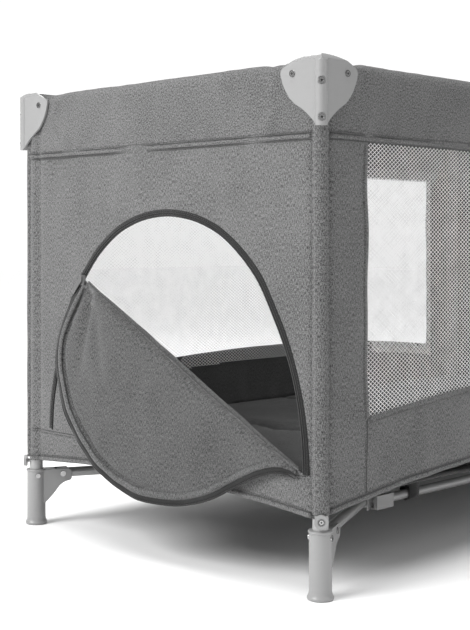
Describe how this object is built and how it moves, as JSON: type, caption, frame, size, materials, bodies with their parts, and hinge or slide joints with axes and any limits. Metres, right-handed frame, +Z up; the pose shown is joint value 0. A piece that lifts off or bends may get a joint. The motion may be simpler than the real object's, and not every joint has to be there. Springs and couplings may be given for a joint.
{
  "type": "folding travel cot playpen",
  "caption": "Folding travel cot with fabric walls, net windows, a zip-in door flap in one end, plastic corner brackets and a fold-up floor frame.",
  "frame": {"origin": "on the floor at the centre of the four feet", "axes": "+Z up, X along the long sides, the door in the -X end wall"},
  "size_m": [1.2451, 0.6774, 0.7262],
  "materials": {
    "steel_tube": "satin grey powder coat",
    "grey_plastic": "glossy moulded",
    "foot_plastic": "satin moulded",
    "hidden_plastic": "matt moulded",
    "bright_steel": "plated",
    "grey_fabric": "woven melange polyester",
    "light_net": "knitted net",
    "dark_fabric": "woven polyester",
    "black_webbing": "woven webbing",
    "zip_metal": "dark lacquer"
  },
  "bodies": {
    "leg_door_front": {"leg_tube_door_front": "steel_tube", "bracket_door_front": "grey_plastic", "foot_door_front": "foot_plastic", "leg_fasteners_door_front": "bright_steel", "wall_anchor_door_front": "foot_plastic", "wall_front": "grey_fabric", "net_window_front": "light_net", "wall_door_end": "grey_fabric"},
    "leg_far_front": {"leg_tube_far_front": "steel_tube", "bracket_far_front": "grey_plastic", "foot_far_front": "foot_plastic", "leg_fasteners_far_front": "bright_steel", "wall_anchor_far_front": "foot_plastic", "wall_far_end": "grey_fabric"},
    "leg_far_back": {"leg_tube_far_back": "steel_tube", "bracket_far_back": "grey_plastic", "foot_far_back": "foot_plastic", "leg_fasteners_far_back": "bright_steel", "wall_anchor_far_back": "foot_plastic"},
    "leg_door_back": {"leg_tube_door_back": "steel_tube", "bracket_door_back": "grey_plastic", "foot_door_back": "foot_plastic", "leg_fasteners_door_back": "bright_steel", "wall_anchor_door_back": "foot_plastic", "wall_back": "grey_fabric", "net_window_back": "light_net"},
    "rail_front_a": {"rail_front_a": "steel_tube"},
    "rail_front_b": {"rail_front_b": "steel_tube"},
    "lock_front": {"lock_front": "hidden_plastic"},
    "lock_button_front": {"lock_button_front": "hidden_plastic"},
    "rail_back_a": {"rail_back_a": "steel_tube"},
    "rail_back_b": {"rail_back_b": "steel_tube"},
    "lock_back": {"lock_back": "hidden_plastic"},
    "lock_button_back": {"lock_button_back": "hidden_plastic"},
    "rail_door_a": {"rail_door_a": "steel_tube"},
    "rail_door_b": {"rail_door_b": "steel_tube"},
    "lock_door": {"lock_door": "hidden_plastic"},
    "lock_button_door": {"lock_button_door": "hidden_plastic"},
    "rail_far_a": {"rail_far_a": "steel_tube"},
    "rail_far_b": {"rail_far_b": "steel_tube"},
    "lock_far": {"lock_far": "hidden_plastic"},
    "lock_button_far": {"lock_button_far": "hidden_plastic"},
    "strut_door_front": {"strut_door_front": "steel_tube"},
    "strut_clip_door_front": {"strut_clip_door_front": "foot_plastic"},
    "floor_bar_door_front": {"floor_bar_door_front": "steel_tube"},
    "strut_far_front": {"strut_far_front": "steel_tube"},
    "strut_clip_far_front": {"strut_clip_far_front": "foot_plastic"},
    "floor_bar_far_front": {"floor_bar_far_front": "steel_tube"},
    "strut_far_back": {"strut_far_back": "steel_tube"},
    "strut_clip_far_back": {"strut_clip_far_back": "foot_plastic"},
    "floor_bar_far_back": {"floor_bar_far_back": "steel_tube"},
    "strut_door_back": {"strut_door_back": "steel_tube"},
    "strut_clip_door_back": {"strut_clip_door_back": "foot_plastic"},
    "floor_bar_door_back": {"floor_bar_door_back": "steel_tube"},
    "hub": {"hub": "hidden_plastic", "hub_pull_strap": "black_webbing", "floor_cloth": "dark_fabric"},
    "mattress": {"mattress": "dark_fabric"},
    "door_flap": {"door_flap": "grey_fabric"},
    "zip_slider": {"zip_slider": "zip_metal"}
  },
  "joints": [
    {"name": "frame_fold", "type": "hinge", "parent": "leg_door_front", "child": "strut_door_front", "pos_m": [-0.56126, -0.29784, 0.083], "axis": [0.434, -0.9009, 0], "range_deg": [0, 80], "deforming": ["wall_front", "net_window_front", "wall_back", "net_window_back", "wall_door_end", "wall_far_end", "floor_cloth", "hub_pull_strap", "mattress", "door_flap", "zip_slider"]},
    {"name": "hub_level", "type": "hinge", "parent": "strut_door_front", "child": "hub", "pos_m": [-0.01426, -0.03434, 0.083], "axis": [0.434, -0.9009, 0], "range_deg": [-82, 0]},
    {"name": "strut_far_front_pivot", "type": "hinge", "parent": "hub", "child": "strut_far_front", "pos_m": [0.01426, -0.03434, 0.083], "axis": [0.434, 0.9009, 0], "range_deg": [0, 82]},
    {"name": "leg_far_front_pivot", "type": "hinge", "parent": "strut_far_front", "child": "leg_far_front", "pos_m": [0.56126, -0.29784, 0.083], "axis": [0.434, 0.9009, 0], "range_deg": [-82, 0]},
    {"name": "strut_far_back_pivot", "type": "hinge", "parent": "hub", "child": "strut_far_back", "pos_m": [0.01426, 0.03434, 0.083], "axis": [-0.434, 0.9009, 0], "range_deg": [0, 82]},
    {"name": "leg_far_back_pivot", "type": "hinge", "parent": "strut_far_back", "child": "leg_far_back", "pos_m": [0.56126, 0.29784, 0.083], "axis": [-0.434, 0.9009, 0], "range_deg": [-82, 0]},
    {"name": "strut_door_back_pivot", "type": "hinge", "parent": "hub", "child": "strut_door_back", "pos_m": [-0.01426, 0.03434, 0.083], "axis": [-0.434, -0.9009, 0], "range_deg": [0, 82]},
    {"name": "leg_door_back_pivot", "type": "hinge", "parent": "strut_door_back", "child": "leg_door_back", "pos_m": [-0.56126, 0.29784, 0.083], "axis": [-0.434, -0.9009, 0], "range_deg": [-82, 0]},
    {"name": "strut_clip_door_front_pivot", "type": "hinge", "parent": "strut_door_front", "child": "strut_clip_door_front", "pos_m": [-0.38108, -0.21104, 0.083], "axis": [0.434, -0.9009, 0], "range_deg": [-82, 0]},
    {"name": "floor_bar_door_front_pivot", "type": "hinge", "parent": "strut_clip_door_front", "child": "floor_bar_door_front", "pos_m": [-0.36682, -0.22404, 0.083], "axis": [0, -1, 0], "range_deg": [0, 82]},
    {"name": "strut_clip_far_front_pivot", "type": "hinge", "parent": "strut_far_front", "child": "strut_clip_far_front", "pos_m": [0.38108, -0.21104, 0.083], "axis": [0.434, 0.9009, 0], "range_deg": [-82, 0]},
    {"name": "floor_bar_far_front_pivot", "type": "hinge", "parent": "strut_clip_far_front", "child": "floor_bar_far_front", "pos_m": [0.36682, -0.22404, 0.083], "axis": [0, 1, 0], "range_deg": [0, 82]},
    {"name": "strut_clip_far_back_pivot", "type": "hinge", "parent": "strut_far_back", "child": "strut_clip_far_back", "pos_m": [0.38108, 0.21104, 0.083], "axis": [-0.434, 0.9009, 0], "range_deg": [-82, 0]},
    {"name": "floor_bar_far_back_pivot", "type": "hinge", "parent": "strut_clip_far_back", "child": "floor_bar_far_back", "pos_m": [0.36682, 0.22404, 0.083], "axis": [0, 1, 0], "range_deg": [0, 82]},
    {"name": "strut_clip_door_back_pivot", "type": "hinge", "parent": "strut_door_back", "child": "strut_clip_door_back", "pos_m": [-0.38108, 0.21104, 0.083], "axis": [-0.434, -0.9009, 0], "range_deg": [-82, 0]},
    {"name": "floor_bar_door_back_pivot", "type": "hinge", "parent": "strut_clip_door_back", "child": "floor_bar_door_back", "pos_m": [-0.36682, 0.22404, 0.083], "axis": [0, -1, 0], "range_deg": [0, 82]},
    {"name": "rail_front_a_pivot", "type": "hinge", "parent": "leg_door_front", "child": "rail_front_a", "pos_m": [-0.567, -0.3165, 0.7], "axis": [0, 1, 0], "range_deg": [0, 82]},
    {"name": "lock_front_pivot", "type": "hinge", "parent": "rail_front_a", "child": "lock_front", "pos_m": [-0.02, -0.3165, 0.7], "axis": [0, 1, 0], "range_deg": [-82, 0]},
    {"name": "rail_front_b_pivot", "type": "hinge", "parent": "leg_far_front", "child": "rail_front_b", "pos_m": [0.567, -0.3165, 0.7], "axis": [0, 1, 0], "range_deg": [-82, 0]},
    {"name": "rail_back_a_pivot", "type": "hinge", "parent": "leg_door_back", "child": "rail_back_a", "pos_m": [-0.567, 0.3165, 0.7], "axis": [0, 1, 0], "range_deg": [0, 82]},
    {"name": "lock_back_pivot", "type": "hinge", "parent": "rail_back_a", "child": "lock_back", "pos_m": [-0.02, 0.3165, 0.7], "axis": [0, 1, 0], "range_deg": [-82, 0]},
    {"name": "rail_back_b_pivot", "type": "hinge", "parent": "leg_far_back", "child": "rail_back_b", "pos_m": [0.567, 0.3165, 0.7], "axis": [0, 1, 0], "range_deg": [-82, 0]},
    {"name": "rail_door_a_pivot", "type": "hinge", "parent": "leg_door_front", "child": "rail_door_a", "pos_m": [-0.6, -0.2835, 0.7], "axis": [1, 0, 0], "range_deg": [-82, 0]},
    {"name": "lock_door_pivot", "type": "hinge", "parent": "rail_door_a", "child": "lock_door", "pos_m": [-0.6, -0.02, 0.7], "axis": [1, 0, 0], "range_deg": [0, 82]},
    {"name": "rail_door_b_pivot", "type": "hinge", "parent": "leg_door_back", "child": "rail_door_b", "pos_m": [-0.6, 0.2835, 0.7], "axis": [1, 0, 0], "range_deg": [0, 82]},
    {"name": "rail_far_a_pivot", "type": "hinge", "parent": "leg_far_front", "child": "rail_far_a", "pos_m": [0.6, -0.2835, 0.7], "axis": [1, 0, 0], "range_deg": [-82, 0]},
    {"name": "lock_far_pivot", "type": "hinge", "parent": "rail_far_a", "child": "lock_far", "pos_m": [0.6, -0.02, 0.7], "axis": [1, 0, 0], "range_deg": [0, 82]},
    {"name": "rail_far_b_pivot", "type": "hinge", "parent": "leg_far_back", "child": "rail_far_b", "pos_m": [0.6, 0.2835, 0.7], "axis": [1, 0, 0], "range_deg": [0, 82]},
    {"name": "mattress_lift", "type": "slide", "parent": "hub", "child": "mattress", "axis": [0, 0, 1], "range_m": [0, 0.75]},
    {"name": "lock_button_front_press", "type": "slide", "parent": "lock_front", "child": "lock_button_front", "axis": [0, 0, 1], "range_m": [0, 0.0045], "stiffness_N_per_m": 400, "springref_m": -0.002},
    {"name": "lock_button_back_press", "type": "slide", "parent": "lock_back", "child": "lock_button_back", "axis": [0, 0, 1], "range_m": [0, 0.0045], "stiffness_N_per_m": 400, "springref_m": -0.002},
    {"name": "lock_button_door_press", "type": "slide", "parent": "lock_door", "child": "lock_button_door", "axis": [0, 0, 1], "range_m": [0, 0.0045], "stiffness_N_per_m": 400, "springref_m": -0.002},
    {"name": "lock_button_far_press", "type": "slide", "parent": "lock_far", "child": "lock_button_far", "axis": [0, 0, 1], "range_m": [0, 0.0045], "stiffness_N_per_m": 400, "springref_m": -0.002},
    {"name": "door_flap_fold", "type": "hinge", "parent": "leg_door_front", "child": "door_flap", "pos_m": [-0.61615, -0.2988, 0.165], "axis": [0, 0.8836, 0.4682], "range_deg": [0, 178]},
    {"name": "zip_slide", "type": "hinge", "parent": "leg_door_front", "child": "zip_slider", "pos_m": [-0.615, -0.025, 0.272], "axis": [1, 0, 0], "range_deg": [0, 110]}
  ],
  "couplings": [
    {"joint": "hub_level", "follows": "frame_fold", "ratio": -1},
    {"joint": "strut_far_front_pivot", "follows": "frame_fold", "ratio": 1},
    {"joint": "leg_far_front_pivot", "follows": "frame_fold", "ratio": -1},
    {"joint": "strut_far_back_pivot", "follows": "frame_fold", "ratio": 1},
    {"joint": "leg_far_back_pivot", "follows": "frame_fold", "ratio": -1},
    {"joint": "strut_door_back_pivot", "follows": "frame_fold", "ratio": 1},
    {"joint": "leg_door_back_pivot", "follows": "frame_fold", "ratio": -1},
    {"joint": "strut_clip_door_front_pivot", "follows": "frame_fold", "ratio": -1},
    {"joint": "floor_bar_door_front_pivot", "follows": "frame_fold", "ratio": 1},
    {"joint": "strut_clip_far_front_pivot", "follows": "frame_fold", "ratio": -1},
    {"joint": "floor_bar_far_front_pivot", "follows": "frame_fold", "ratio": 1},
    {"joint": "strut_clip_far_back_pivot", "follows": "frame_fold", "ratio": -1},
    {"joint": "floor_bar_far_back_pivot", "follows": "frame_fold", "ratio": 1},
    {"joint": "strut_clip_door_back_pivot", "follows": "frame_fold", "ratio": -1},
    {"joint": "floor_bar_door_back_pivot", "follows": "frame_fold", "ratio": 1},
    {"joint": "rail_front_a_pivot", "follows": "frame_fold", "ratio": 1},
    {"joint": "lock_front_pivot", "follows": "frame_fold", "ratio": -1},
    {"joint": "rail_front_b_pivot", "follows": "frame_fold", "ratio": -1},
    {"joint": "rail_back_a_pivot", "follows": "frame_fold", "ratio": 1},
    {"joint": "lock_back_pivot", "follows": "frame_fold", "ratio": -1},
    {"joint": "rail_back_b_pivot", "follows": "frame_fold", "ratio": -1},
    {"joint": "rail_door_a_pivot", "follows": "frame_fold", "ratio": -1},
    {"joint": "lock_door_pivot", "follows": "frame_fold", "ratio": 1},
    {"joint": "rail_door_b_pivot", "follows": "frame_fold", "ratio": 1},
    {"joint": "rail_far_a_pivot", "follows": "frame_fold", "ratio": -1},
    {"joint": "lock_far_pivot", "follows": "frame_fold", "ratio": 1},
    {"joint": "rail_far_b_pivot", "follows": "frame_fold", "ratio": 1}
  ]
}
